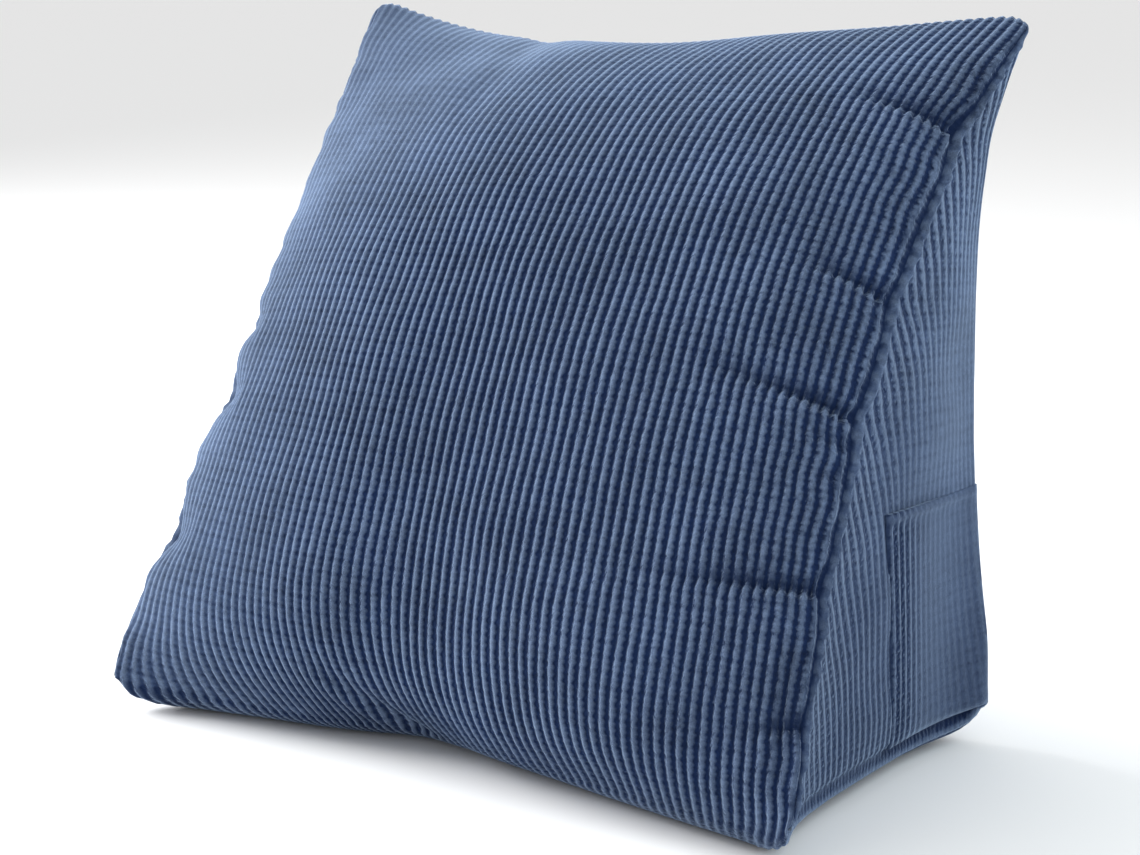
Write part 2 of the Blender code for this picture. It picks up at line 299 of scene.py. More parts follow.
def front_form(u, v):
    edge = np.clip(1 - u * u, 0, 1) ** FRONT_ACROSS
    rise = FRONT_CROWN * edge * np.clip(4 * v * (1 - v), 0, 1) ** FRONT_ALONG
    rise *= 1 + FRONT_LEAN * (2 * v - 1)
    turn = np.arctan2(SETBACK, HEIGHT) + (v - 0.5) * FRONT_TURN
    out = np.stack([0 * u, -np.cos(turn), np.sin(turn)], -1)
    form = between_seams("front", "top", u, v, SEAM_HOLD) + out * rise[..., None]
    belly = v / BELLY_AT * np.exp(1 - v / BELLY_AT)
    form[..., 1] -= BELLY * belly * np.clip(1 - u * u, 0, 1) ** BELLY_ACROSS
    side = np.where(u > 0, 1, -1)
    form[..., 0] -= side * nip(side, v, (1 - np.abs(u)) * WIDTH / 2)
    return form


def back_form(u, v):
    rise = BACK_CROWN * np.clip((1 - u * u) * 4 * v * (1 - v), 0, 1) ** BACK_POWER
    form = between_seams("back", "top", u, v, SEAM_HOLD)
    form[..., 1] += rise
    return form


def base_roll(u, v):
    """0 where the base rests and 1 on its seams."""
    across = np.clip(1 - (1 - np.abs(u)) * WIDTH / 2 / SIDE_RIM, 0, 1)
    front = np.clip(1 - v * DEPTH / FRONT_RIM, 0, 1)
    back = np.clip(1 - (1 - v) * DEPTH / BACK_RIM, 0, 1)
    together = across ** ROLL_POWER + front ** ROLL_POWER + back ** ROLL_POWER
    return np.clip(together ** (1 / ROLL_POWER), 0, 1)


def base_form(u, v):
    form = between_seams("front", "back", u, v, 1)
    form[..., 2] *= 1 - np.sqrt(1 - base_roll(u, v) ** 2)
    return form


# The drift of the ribs across the front, their sweep to the pinch at the foot, and their wiggle
# beside the side seams.
SLIDE_LEVEL, SLIDE_SLOPE, SLIDE_CURVE = -0.083, 0.115, 0.030
SLIDE_START, SLIDE_END_POWER = 0.06, 5
FOOT_SWEEP, SWEEP_REACH = 0.075, 0.045
WIGGLE, WIGGLE_STEP, WIGGLE_DRIFT, WIGGLE_REACH, WIGGLE_START = 0.0045, 0.0075, 0.031, 0.022, 0.006


def slide(u, up):
    """Where each rib settles across the front: towards the left, but at the foot to the pinch."""
    drawn = (1 - u * u) * (SLIDE_LEVEL + SLIDE_SLOPE * u + SLIDE_CURVE * u * u)
    drawn *= 1 - bump(np.clip(up, 0, None), SLIDE_START)
    drawn *= 1 - np.clip(up / FRONT_LENGTH, 0, 1) ** SLIDE_END_POWER
    swept = np.sin(np.pi * np.clip((u + 1) / (PINCH_AT + 1), 0, 1)) ** 2
    from_side = (1 - np.abs(u)) * WIDTH / 2
    wiggle = WIGGLE * np.sin(up / WIGGLE_STEP + 3 * np.sin(up / WIGGLE_DRIFT))
    wiggle = wiggle * np.clip(from_side / WIGGLE_START, 0, 1)
    wiggle *= np.exp(-from_side / WIGGLE_REACH)
    return u + drawn + wiggle + FOOT_SWEEP * swept * bump(up + 0.01, SWEEP_REACH)


# How far the filling rounds the turn under the front: along the cloth, and fading up it and
# towards its ends.
FOOT_SPREAD, FOOT_REACH, FOOT_ENDS = 0.011, 0.055, 0.03


def rounded_foot(u, up):
    """Front and base as one cloth, up from their seam, with the filling rounding the turn."""
    u = slide(u, up)
    off_ends = np.clip((1 - np.abs(u)) * WIDTH / 2 / FOOT_ENDS, 0, 1)
    spread = FOOT_SPREAD * off_ends * bump(up, FOOT_REACH)
    total = 0
    form = np.zeros((*u.shape, 3))
    for tap in np.linspace(-2, 2, 9):
        weight = np.exp(-tap * tap / 2)
        at = up + tap * spread
        front = front_form(u, np.clip(at, 0, None) / FRONT_LENGTH)
        base = base_form(u, np.clip(-at, 0, None) / DEPTH)
        form += weight * np.where((at >= 0)[..., None], front, base)
        total += weight
    return form / total


def smooth_front(u, v):
    return rounded_foot(u, v * FRONT_LENGTH)


def smooth_base(u, v):
    return rounded_foot(u, -v * DEPTH)


def side_form(side):
    """The form of the left (-1) or right (1) side, over the flat panel's depth and height."""

    def form_at(y, height):
        back = (y + DEPTH / 2 - SETBACK * height) / DEPTH
        front = 1 - height - back
        foot = front + back
        along = np.clip(back / np.where(foot > 1e-6, foot, 1), 0, 1)
        end = np.full_like(y, side)
        lines = {name: across_corners(name, end) for name in CORNERS}
        flat = lines["front"] * front[..., None] + lines["back"] * back[..., None]
        flat = flat + lines["top"] * height[..., None]
        front_pull = pull_of(SIDE_SEAMS["front", "top"], height, end)
        back_pull = pull_of(SIDE_SEAMS["back", "top"], height, end)
        base_pull = pull_of(SIDE_SEAMS["front", "back"], along, end)
        blend = along[..., None]
        pull = front_pull * (1 - blend) + back_pull * blend
        pull = pull + base_pull * (1 - height[..., None]) ** 2
        rise = SIDE_CROWN * np.clip(27 * height * back * front, 0, None) ** SIDE_POWER
        rise = rise - nip(end, height, back * DEPTH)
        return flat + pull + np.stack([side * rise, 0 * rise, 0 * rise], -1)

    return form_at


def outward(form, a, b, hint):
    """Unit normals of a form, on the hinted side."""
    small = 2e-4
    run = form(a + small, b) - form(a - small, b)
    rise = form(a, b + small) - form(a, b - small)
    normal = np.cross(run, rise)
    normal /= np.linalg.norm(normal, axis=-1, keepdims=True) + 1e-12
    return normal * np.where(normal @ np.array(hint) < 0, -1, 1)[..., None]


# A rib's height, the share of it that lies below the cloth, and how it is drawn in at each join.
RIB_HEIGHT = 0.0017
RIB_VALLEY, RIB_SHARPNESS = 0.6, 2.6
JOIN_SINK, JOIN_POWER = 0.12, 6


def ribs(across, along, height):
    """Rounded ribs between narrow valleys, drawn in a little between their kernels."""
    crest = 1 - np.abs(np.cos(np.pi * across)) ** RIB_SHARPNESS
    join = np.abs(np.cos(np.pi * along)) ** JOIN_POWER
    return height * (crest * (1 - JOIN_SINK * join) - RIB_VALLEY)


def waves(a, b, seed):
    """Slow unevenness of the filling, from -1 to 1 or so."""
    first = np.sin(31 * a + 9 * b + seed) * np.sin(14 * b + 11 * a + 1.1 + seed)
    second = np.sin(47 * a - 17 * b + 2 * seed) * np.sin(27 * b + 1.9 + seed)
    return first + 0.5 * second


def knots(run, terms):
    """The unevenness along a stitched seam, around 1: how much, its step, its wander and drift."""
    uneven = 1
    for amount, step, wander, drift in terms:
        uneven = uneven + amount * np.sin(run / step + wander * np.sin(run / drift))
    return uneven


# Creases at the right seam: the seam share where they start, how far in, slope, depth.
CREASES = (
    (0.813, 0.070, 0.16, 0.0066),
    (0.594, 0.055, 0.16, 0.0050),
    (0.451, 0.092, 0.15, 0.0060),
    (0.418, 0.024, 0.10, 0.0034),
    (0.384, 0.016, 0.00, 0.0026),
    (0.257, 0.094, -0.03, 0.0056),
    (0.112, 0.040, -0.15, 0.0034),
)
# A crease: the height of its step, its hollow above and swell below, each a share of its depth and
# how far it fades, its dip in each valley between the ribs, and its shadow.
CREASE_STEP, CREASE_SCALLOP, CREASE_TAPER = 0.0011, 0.0026, 0.75
HOLLOW_SHARE, HOLLOW_FADE = 1.15, 0.0075
SWELL_SHARE, SWELL_FADE = 0.55, 0.015
SHADOW_AT, SHADOW_WIDTH, SHADOW_SHARE, SHADOW_DEPTH = 0.0015, 0.0055, 1.3, 0.0042


def crease_relief(from_right, height, valley):
    """Tucks at the right seam, round under each rib, and how dark their shadow side is."""
    depth = np.zeros_like(height)
    shadow = np.zeros_like(height)
    for share, reach, slope, deepest in CREASES:
        above = height - share * FRONT_LENGTH - slope * from_right + CREASE_SCALLOP * valley
        ease = np.clip(1 - from_right / reach, 0, 1)
        taper = ease ** CREASE_TAPER
        upper = 1 / (1 + np.exp(-np.clip(above / CREASE_STEP, -30, 30)))
        hollow = upper * np.exp(-np.clip(above, 0, None) / HOLLOW_FADE)
        swell = (1 - upper) * np.exp(-np.clip(-above, 0, None) / SWELL_FADE)
        depth += deepest * taper * (HOLLOW_SHARE * hollow - SWELL_SHARE * swell)
        dark = bump(above - SHADOW_AT, SHADOW_WIDTH)
        shadow += SHADOW_SHARE * taper * upper * dark * deepest / SHADOW_DEPTH
    return depth, shadow


# The painted sheen that pales the front's grooves, where its ribs are lowered too: where it lies on
# the left and at the top, and what that closes.
SHEEN_LEFT, SHEEN_LEFT_POWER, SHEEN_FOOT, SHEEN_FOOT_REACH, SHEEN_LEFT_LOSS = 0.50, 1.2, 0.45, 0.35, 0.90
SHEEN_TOP, SHEEN_TOP_REACH, SHEEN_TOP_SPAN, SHEEN_TOP_LOSS = 0.58, 0.36, 1.10, 0.8
SHEEN_LEAST = 0.08


def ribs_under_sheen(x, v):
    """How open the front's grooves are: lower and painted paler, a painted sheen, towards the left
    and top left.
    """
    share = x / WIDTH + 0.5
    left = np.clip(1 - share / SHEEN_LEFT, 0, 1) ** SHEEN_LEFT_POWER
    left = left * np.clip(SHEEN_FOOT + v / SHEEN_FOOT_REACH, 0, 1)
    top = np.clip((v - SHEEN_TOP) / SHEEN_TOP_REACH, 0, 1) * np.clip(SHEEN_TOP_SPAN - share, 0, 1)
    return np.clip(1 - SHEEN_LEFT_LOSS * left - SHEEN_TOP_LOSS * top, SHEEN_LEAST, 1)


# The seams' grooves, which end short of the corners' tips, and where the ribs start beside them.
SEAM_SINK, TIP_REACH, RIBS_FROM = 0.0034, 0.014, 0.003
# The front's seam groove and its shadow, the gathers beside it, the hollow near its foot and its
# painted shade.
FRONT_SEAM, FRONT_FADE, FRONT_SEAM_DARK, FRONT_SEAM_STRENGTH = 0.0021, 0.0014, 0.0026, 1.3
FRONT_KNOTS = ((0.30, 0.0027, 2, 0.017), (0.30, 0.0087, 2, 0.041))
GATHER, GATHER_STEP, GATHER_WANDER, GATHER_DRIFT, GATHER_REACH = 0.0008, 0.0047, 1.7, 0.021, 0.014
HOLLOW_IN, HOLLOW_IN_REACH, HOLLOW_UP, HOLLOW_UP_REACH = 0.012, 0.006, 0.050, 0.035
HOLLOW_DEPTH, HOLLOW_SHADE = 0.0022, 0.35
# The least depth of the front's ribs, under the painted sheen, and how a dent tapers.
LEAST_RIBS, DENT_TAPER = 0.3, 0.7
# The filling's own unevenness on the front, back and sides, and how near the seams it starts.
FRONT_WAVES, BACK_WAVES, SIDE_WAVES, WAVES_FROM = 0.0013, 0.0016, 0.0012, 0.03
# The fold that rises from the pinch, and the direction that it runs in.
FOLD, FOLD_OFFSET, FOLD_WIDTH, FOLD_REACH = 0.0026, 0.006, 0.007, 0.055
FOLD_RUN, FOLD_RISE = 0.66, 0.75
# Where the front is darker, in the middle and, as painted shade, at the lower right and top left:
# across, up, their reaches, and how much.
DARKER_PATCHES = (
    (0.03, 0.20, 0.07, 0.16, 0.18),
    (0.15, 0.03, 0.07, 0.07, 0.24),
    (-WIDTH / 2, FRONT_LENGTH, 0.20, 0.12, 0.60),
)


def front_relief(x, height, across, along):
    from_side = WIDTH / 2 - np.abs(x)
    from_right = WIDTH / 2 - x
    fade = 1 - bump(from_side, FRONT_FADE)
    # Lower ribs, and grooves painted paler as a painted sheen, towards the left and top left.
    lift = ribs_under_sheen(x, height / FRONT_LENGTH)
    relief = ribs(across, along, RIB_HEIGHT * (LEAST_RIBS + (1 - LEAST_RIBS) * lift)) * fade
    inner = np.clip(from_side / WAVES_FROM, 0, 1)
    relief = relief + FRONT_WAVES * waves(x, height / FRONT_LENGTH, 0.4) * inner
    valley = np.abs(np.cos(np.pi * across)) ** 2
    depth, shadow = crease_relief(from_right, height, valley)
    relief = relief - depth * fade
    to_pinch = PINCH_AT * WIDTH / 2 - x
    off_fold = FOLD_RISE * height - FOLD_RUN * to_pinch
    fold = bump(off_fold + FOLD_OFFSET, FOLD_WIDTH) - bump(off_fold - FOLD_OFFSET, FOLD_WIDTH)
    relief = relief + FOLD * fold * bump(FOLD_RISE * to_pinch + FOLD_RUN * height, FOLD_REACH)
    for side, share, reach, half_width, deep, _ in DENTS:
        inwards = WIDTH / 2 - side * x
        taper = np.cos(np.pi / 2 * np.clip(inwards / reach, 0, 1)) ** DENT_TAPER
        relief = relief - deep * taper * bump(height - share * FRONT_LENGTH, half_width)
    gather = np.sin(height / GATHER_STEP + GATHER_WANDER * np.sin(height / GATHER_DRIFT))
    gather = gather * np.exp(-from_side / GATHER_REACH)
    relief = relief + GATHER * gather * fade
    uneven = knots(height, FRONT_KNOTS)
    from_rim = np.minimum(height, FRONT_LENGTH - height)
    short_of_tip = np.clip(from_rim / TIP_REACH, 0, 1)
    relief = relief - SEAM_SINK * bump(from_side, FRONT_SEAM * uneven) * short_of_tip
    hollow = bump(from_right - HOLLOW_IN, HOLLOW_IN_REACH) * bump(height - HOLLOW_UP, HOLLOW_UP_REACH)
    relief = relief - HOLLOW_DEPTH * hollow
    groove = FRONT_SEAM_STRENGTH * bump(from_side, FRONT_SEAM_DARK * uneven)
    # Painted shadows of the creases and the seam groove, and painted shade in the hollow.
    shade = np.clip(shadow, 0, 1) + groove * short_of_tip + HOLLOW_SHADE * hollow
    # Darker in the middle, and painted shade at the lower right and top left.
    for at_x, at_height, reach_x, reach_height, darker in DARKER_PATCHES:
        shade = shade + darker * bump(x - at_x, reach_x) * bump(height - at_height, reach_height)
    return relief, shade, lift


# The back's seams, at its sides and at its foot, how dark their painted shade is and how deep its
# ribs look.
BACK_SEAM, BACK_FOOT_SEAM, FOOT_SINK = 0.0035, 0.0030, 0.0012
BACK_DARK, BACK_RIBBED = 0.6, 0.8


def back_relief(x, height, across, along):
    from_side = WIDTH / 2 - np.abs(x)
    relief = ribs(across, along, RIB_HEIGHT) * np.clip(from_side / RIBS_FROM, 0, 1)
    inner = np.clip(from_side / WAVES_FROM, 0, 1)
    relief = relief + BACK_WAVES * waves(x, height / HEIGHT, 2.1) * inner
    short_of_tip = np.clip(np.minimum(height, HEIGHT - height) / TIP_REACH, 0, 1)
    groove = bump(from_side, BACK_SEAM) * short_of_tip
    low = bump(height, BACK_FOOT_SEAM)
    relief = relief - SEAM_SINK * groove - FOOT_SINK * low
    return relief, BACK_DARK * np.maximum(groove, low), np.full_like(x, BACK_RIBBED)


# The base's seams and their painted shade, where its ribs start and how far they stand out where it
# rolls up, and how dark the painted shade is under the sides, out of the light: from and to how far
# in, and how softly.
BASE_SEAM, BASE_SEAM_DARK, BASE_BACK_SEAM = 0.0025, 0.0022, 0.003
BASE_RIBS_FROM, BASE_RIB_LIFT = 0.002, 0.4
UNDER_FROM, UNDER_TO, UNDER_SOFT, UNDER_DARK = 0.004, 0.05, 0.02, 0.75


def base_relief(u, v, across, along):
    from_side = (1 - np.abs(u)) * WIDTH / 2
    clear = base_roll(u, v) ** 2 * np.clip(from_side / BASE_RIBS_FROM, 0, 1)
    relief = (ribs(across, along, RIB_HEIGHT) + BASE_RIB_LIFT * RIB_HEIGHT) * clear
    sink = SEAM_SINK * bump(from_side, BASE_SEAM)
    sink = sink + FOOT_SINK * bump((1 - v) * DEPTH, BASE_BACK_SEAM)
    under = np.clip((from_side - UNDER_FROM) / UNDER_FROM, 0, 1)
    under = under * np.clip((UNDER_TO - from_side) / UNDER_SOFT, 0, 1)
    return relief - sink, UNDER_DARK * np.maximum(bump(from_side, BASE_SEAM_DARK), under)


# The sides: how open their grooves are beside the front seam, away from it and at the foot, and
# how high that makes the ribs.
OPEN_NEAR, OPEN_LOSS, OPEN_FROM, OPEN_REACH = 0.84, 0.70, 0.012, 0.060
OPEN_FOOT, OPEN_FOOT_REACH = 0.65, 0.17
SIDE_RIBS_LEAST, SIDE_RIBS_MORE = 0.03, 0.58
# The raised edge of the front seam, the place kept for the pocket on the right side, and the
# painted shade that darkens each side towards its foot, less on the ridge.
RIDGE_HEIGHT, RIDGE_AT, RIDGE_WIDTH = 0.0019, 0.0026, 0.0018
RIDGE_KNOTS = ((0.26, 0.00125, 2.6, 0.011), (0.34, 0.0031, 2.2, 0.027), (0.30, 0.0087, 3.1, 0.043))
RIDGE_SWAY, RIDGE_ENDS = 0.0007, 0.012
RIDGE_PALE, RIDGE_PALE_WIDTH, RIDGE_PALER, RIDGE_PLAIN = 0.0020, 0.0026, 0.40, 0.80
POCKET_FROM = 22 * RIB_PITCH - DEPTH / 2
POCKET_TOP = 0.1350
POCKET_RECESS, POCKET_INSET, POCKET_EASE = 0.0030, 0.0012, 0.0016
MOUTH_INSET, MOUTH_EASE = 0.002, 0.004
PAINTED_FOOT_SHADE, FOOT_SHADE_FROM, FOOT_SHADE_REACH = 0.60, 0.29, 0.20
# The grooves along a side's front, back and base seams: width and depth, as a share of a seam's.
SIDE_GROOVES = ((0.0022, 0.3), (0.0025, 1), (0.0030, 1))
# Their shadows at the base and back seams, behind the ridge, and in the gaps between its knots.
SIDE_SEAM_DARK, FOOT_DARK_AT, FOOT_DARK_WIDTH, BACK_DARK_WIDTH = 0.65, 0.001, 0.0024, 0.0022
BEHIND_DARK, BEHIND_AT, BEHIND_WIDTH = 0.30, 0.0032, 0.0012
GAP_DARK, GAP_WIDTH = 0.6, 0.0016


def side_relief(y, z, across, along, covered):
    from_front = ((y + DEPTH / 2) * HEIGHT - SETBACK * z) / FRONT_LENGTH
    from_back = DEPTH / 2 + (SETBACK - DEPTH) * z / HEIGHT - y
    from_seam = np.minimum(np.minimum(from_front, from_back), z)
    seam_run = z * FRONT_LENGTH / HEIGHT
    lift = OPEN_NEAR - OPEN_LOSS * np.clip((from_front - OPEN_FROM) / OPEN_REACH, 0, 1)
    lift = lift + (1 - lift) * OPEN_FOOT * np.clip(1 - z / OPEN_FOOT_REACH, 0, 1)
    relief = ribs(across, along, RIB_HEIGHT * (SIDE_RIBS_LEAST + SIDE_RIBS_MORE * lift))
    relief = relief * np.clip(from_seam / RIBS_FROM, 0, 1)
    inner = np.clip(from_seam / WAVES_FROM, 0, 1)
    relief = relief + SIDE_WAVES * waves(y, z / HEIGHT, 4.0) * inner
    lump = knots(seam_run, RIDGE_KNOTS)
    off_ridge = from_front - RIDGE_AT - RIDGE_SWAY * (lump - 1)
    ridge = RIDGE_HEIGHT * lump * bump(off_ridge, RIDGE_WIDTH)
    ends = np.clip(np.minimum(from_back, z) / RIDGE_ENDS, 0, 1)
    relief = relief + ridge * ends
    groove = 0
    lines = (from_front, from_back, z)
    short_of_tip = np.clip(np.sort(lines, axis=0)[1] / TIP_REACH, 0, 1)
    for from_line, (line_width, deep) in zip(lines, SIDE_GROOVES):
        sink = deep * SEAM_SINK * bump(from_line, line_width) * short_of_tip
        groove = np.maximum(groove, sink)
    under = covered * np.clip((y - POCKET_FROM - POCKET_INSET) / POCKET_EASE, 0, 1)
    under = under * np.clip((POCKET_TOP - MOUTH_INSET - z) / MOUTH_EASE, 0, 1)
    relief = relief * (1 - under) - POCKET_RECESS * under - groove
    seams = np.maximum(bump(z - FOOT_DARK_AT, FOOT_DARK_WIDTH), bump(from_back, BACK_DARK_WIDTH))
    behind = BEHIND_DARK * lump * bump(from_front - RIDGE_AT - BEHIND_AT, BEHIND_WIDTH)
    gap = np.clip(1.0 - lump, 0, GAP_DARK) * bump(from_front - RIDGE_AT, GAP_WIDTH)
    shade = np.maximum(np.maximum(SIDE_SEAM_DARK * seams, behind), gap)
    on_ridge = bump(from_front - RIDGE_PALE, RIDGE_PALE_WIDTH)
    # Painted shade, darker towards the foot, and lighter on the ridge.
    foot_shade = PAINTED_FOOT_SHADE * np.clip((FOOT_SHADE_FROM - z) / FOOT_SHADE_REACH, 0, 1) * (1 - RIDGE_PALER * on_ridge)
    return relief, shade + (1 - shade) * foot_shade, lift * (1 - RIDGE_PLAIN * on_ridge)


# How far the sides' cloth is drawn back, over what reach below the front seam, and under the base.
LEAN, LEAN_REACH, LEAN_UNDER = 0.013, 0.075, 0.04


def lean(y, z):
    """How far back the cloth of a side is drawn below its front seam."""
    below = np.clip(HEIGHT / SETBACK * (y + DEPTH / 2) - z, 0, None)
    front = SETBACK / HEIGHT * z - DEPTH / 2
    back = DEPTH / 2 + (SETBACK - DEPTH) * z / HEIGHT
    share = np.clip((y - front) / np.clip(back - front, 1e-4, None), 0, 1)
    return LEAN * np.sin(np.pi / 2 * np.clip(below / LEAN_REACH, 0, 1)) * (1 - share ** 2)


# The cut: columns for each rib, rows up the front and back, and the base's rows near its seams.
FRONT_COLUMNS = RIBS_WIDE * 4
SIDE_COLUMNS_PER_RIB = 3
ROWS = RIBS_BACK * SIDE_COLUMNS_PER_RIB
SIDE_STEP = RIB_PITCH / SIDE_COLUMNS_PER_RIB
BASE_STEPS = (1, 2, 3, 5, 7, 10, 14, 20, 34, 57, 78, 90, 97, 102, 106, 109, 111, 113)
# Further cuts along each crease and beside each front seam, and how near a face is to be cut.
CREASE_CUTS, CREASE_NEAR = (-0.0044, -0.0028, -0.0012, 0.0004, 0.0020), 0.012
RIDGE_CUTS, RIDGE_NEAR = (0.0008, 0.0018, 0.0028, 0.0038, 0.0050), 0.004
FOOT = Vector((0, -DEPTH / 2, 0))
BACK_FOOT = Vector((0, DEPTH / 2, 0))
FRONT_SLOPE = Vector((0, SETBACK, HEIGHT))
BACK_SLOPE = Vector((0, SETBACK - DEPTH, HEIGHT))
FRONT, BACK, BASE, LEFT, RIGHT = range(5)


def lay_grid(mesh, columns, rows, start, run, rise, panel):
    """A flat grid from start, along run and rise, that knows which panel it is."""
    place = Matrix((run, rise, run.cross(rise).normalized())).transposed().to_4x4()
    place.translation = start + run / 2 + rise / 2
    before = set(mesh.faces)
    bmesh.ops.create_grid(mesh, x_segments=columns, y_segments=rows, size=0.5, matrix=place)
    faces = [face for face in mesh.faces if face not in before]
    for face in faces:
        face.material_index = panel
    return faces


def slice_faces(mesh, faces, point, normal, clear=False):
    """Cuts some faces along a plane and gives back what is left of them."""
    parts = dict.fromkeys(item for face in faces for item in (face, *face.edges, *face.verts))
    cut = bmesh.ops.bisect_plane(
        mesh, geom=list(parts), dist=1e-6, plane_co=point, plane_no=normal, clear_outer=clear
    )
    return [item for item in cut["geom"] if isinstance(item, bmesh.types.BMFace)]


bag = bmesh.new()
width_run = Vector((WIDTH, 0, 0))
half = width_run / 2
column = WIDTH / FRONT_COLUMNS
lay_grid(bag, FRONT_COLUMNS, ROWS, FOOT - half, width_run, FRONT_SLOPE, FRONT)
back = lay_grid(bag, FRONT_COLUMNS, ROWS, BACK_FOOT - half, width_run, BACK_SLOPE, BACK)
base = lay_grid(bag, FRONT_COLUMNS, 1, FOOT - half, width_run, Vector((0, DEPTH, 0)), BASE)
for step in BASE_STEPS:
    base = slice_faces(bag, base, FOOT + Vector((0, step * SIDE_STEP, 0)), (0, 1, 0))
for end in (-1, 1):
    rim = [f for f in base if f.is_valid and end * f.calc_center_median().x > WIDTH / 2 - column]
    for step in range(1, RIBS_DEEP * SIDE_COLUMNS_PER_RIB):
        if step not in BASE_STEPS:
            rim = slice_faces(bag, rim, FOOT + Vector((0, step * SIDE_STEP, 0)), (0, 1, 0))
    rim = [f for f in back if f.is_valid and end * f.calc_center_median().x > WIDTH / 2 - column]
    overhang = (RIBS_BACK - RIBS_DEEP) * SIDE_COLUMNS_PER_RIB
    for step in range(1, overhang, 2):
        rim = slice_faces(bag, rim, BACK_FOOT + BACK_SLOPE * step / overhang, (0, 0, 1))
for end, panel in ((-1, LEFT), (1, RIGHT)):
    start = FOOT + half * end
    run, rise = Vector((0, SETBACK, 0)), Vector((0, 0, HEIGHT))
    triangle = lay_grid(bag, ROWS, ROWS, start, run, rise, panel)
    triangle = slice_faces(bag, triangle, start, (0, -HEIGHT, SETBACK), clear=True)
    slice_faces(bag, triangle, BACK_FOOT + half * end, (0, HEIGHT, DEPTH - SETBACK), clear=True)
bmesh.ops.remove_doubles(bag, verts=bag.verts, dist=1e-5)
up_front = FRONT_SLOPE.normalized()
for share, reach, slope, _ in CREASES:
    crease_foot = FOOT + half + FRONT_SLOPE * share
    normal = up_front + Vector((slope, 0, 0))
    for offset in CREASE_CUTS:
        near = []
        for face in bag.faces:
            to_face = face.calc_center_median() - crease_foot
            beside = -reach < to_face.x and abs(to_face @ normal) < CREASE_NEAR
            if face.material_index == FRONT and beside:
                near.append(face)
        slice_faces(bag, near, crease_foot + up_front * offset, normal)
for end, panel in ((-1, LEFT), (1, RIGHT)):
    for distance in RIDGE_CUTS:
        foot = FOOT + half * end + Vector((0, distance * FRONT_LENGTH / HEIGHT, 0))
        near = []
        for face in bag.faces:
            offset = (face.calc_center_median() - foot).dot((0, HEIGHT, -SETBACK)) / FRONT_LENGTH
            if face.material_index == panel and abs(offset) < RIDGE_NEAR:
                near.append(face)
        slice_faces(bag, near, foot, (0, HEIGHT, -SETBACK))
bmesh.ops.recalc_face_normals(bag, faces=bag.faces)


def flat_mesh(name, mesh):
    """The cut cloth, and each corner's place and panel on it."""
    data = bpy.data.meshes.new(name)
    mesh.to_mesh(data)
    mesh.free()
    flat = np.empty(len(data.vertices) * 3, np.float32)
    data.vertices.foreach_get("co", flat)
    corner = np.empty(len(data.loops), np.int32)
    data.loops.foreach_get("vertex_index", corner)
    panel = np.empty(len(data.polygons), np.int32)
    data.polygons.foreach_get("material_index", panel)
    sides = np.empty(len(data.polygons), np.int32)
    data.polygons.foreach_get("loop_total", sides)
    return data, flat.reshape(-1, 3).astype(float), corner, np.repeat(panel, sides)


def finish_cloth(data, settled, cloth_map, shade, ribbed):
    """Moves the cut cloth to its settled place and keeps what the weave needs to know."""
    data.vertices.foreach_set("co", settled.astype(np.float32).ravel())
    layer = data.uv_layers.new(name="cloth")
    layer.data.foreach_set("uv", cloth_map.astype(np.float32).ravel())
    for name, values in (("shade", shade), ("ribbed", ribbed)):
        attribute = data.attributes.new(name, "FLOAT", "POINT")
        attribute.data.foreach_set("value", np.clip(values, 0, 1).astype(np.float32))
    data.polygons.foreach_set("material_index", np.zeros(len(data.polygons), np.int32))
    data.materials.append(CORD)
    data.shade_smooth()
    data.update()
    piece = bpy.data.objects.new(data.name, data)
    bpy.context.scene.collection.objects.link(piece)
    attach(piece, "root")
    return piece


# How far back each tip is blunted, with how much of its lift, and how softly.
CORNER_BLUNT = {"front": (0.0055, 0.15), "back": (0.0085, 0), "top": (0.0085, 1.0)}
CORNER_SOFT, CORNER_REACH = 0.0030, 0.04
PILLOW_MIDDLE = np.array((0, 0.02, 0.17))


def blunt_corners(settled):
    """The filling never reaches the six corners' tips, so the cloth there folds back bluntly."""
    for end in (-1, 1):
        for name in CORNERS:
            tip = across_corners(name, np.array([float(end)]))[0]
            away = tip - PILLOW_MIDDLE
            blunt, lift = CORNER_BLUNT[name]
            away[2] *= lift
            away /= np.linalg.norm(away)
            short = (tip - settled) @ away
            eased = np.log1p(np.exp(np.clip((short - blunt) / CORNER_SOFT, -40, 40)))
            near = np.exp(-((np.linalg.norm(settled - tip, axis=1) / CORNER_REACH) ** 4))
            settled = settled - away * (near * (blunt + CORNER_SOFT * eased - short))[:, None]
    return settled


cushion_mesh, flat, corner, corner_panel = flat_mesh("stuffed_bag", bag)
x, y, z = flat[corner].T
side_corner = corner_panel >= LEFT
across_cloth = np.where(side_corner, y + DEPTH / 2, x + WIDTH / 2) / RIB_PITCH
along_cloth = np.where(corner_panel == BASE, -(y + DEPTH / 2) / KERNEL_PITCH, z / HEIGHT * ROWS / 2)
along_cloth = np.where(side_corner, z / KERNEL_PITCH, along_cloth)
cloth_map = np.stack([across_cloth, along_cloth], -1)

